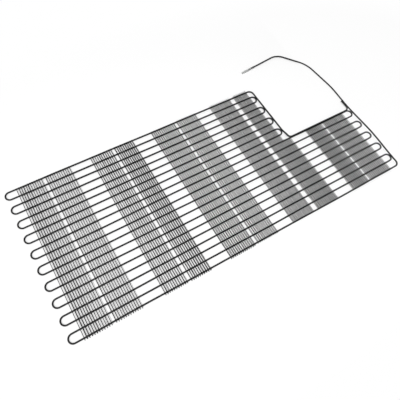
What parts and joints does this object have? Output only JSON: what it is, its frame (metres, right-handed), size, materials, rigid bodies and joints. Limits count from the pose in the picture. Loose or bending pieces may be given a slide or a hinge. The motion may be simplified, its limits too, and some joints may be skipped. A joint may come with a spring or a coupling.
{
  "type": "freezer condenser",
  "caption": "Flat wire-on-tube condenser panel with a notched corner, serpentine tube, welded wires on both faces, an open stub and a capped free pipe.",
  "frame": {"origin": "bottom centre of the whole part's box, on the surface that the rear wires lie on", "axes": "+X along the tube runs, from the plain side to the side with the notch; +Y across the runs, from the last run to the first, notched one; +Z out of the front face"},
  "size_m": [1.1302, 0.5793, 0.0127],
  "materials": {
    "tube_paint": "satin",
    "wire_paint": "satin",
    "cap_plastic": "matte"
  },
  "bodies": {
    "root": {"tube_coil": "tube_paint", "transit_cap": "cap_plastic", "front_wires_01": "wire_paint", "front_wires_02": "wire_paint", "front_wires_03": "wire_paint", "front_wires_04": "wire_paint", "front_wires_05": "wire_paint", "front_wires_06": "wire_paint", "front_wires_07": "wire_paint", "front_wires_08": "wire_paint", "front_wires_09": "wire_paint", "front_wires_10": "wire_paint", "rear_wires_01": "wire_paint", "rear_wires_02": "wire_paint", "rear_wires_03": "wire_paint", "rear_wires_04": "wire_paint", "rear_wires_05": "wire_paint", "rear_wires_06": "wire_paint", "rear_wires_07": "wire_paint", "rear_wires_08": "wire_paint", "rear_wires_09": "wire_paint", "rear_wires_10": "wire_paint"}
  },
  "joints": []
}
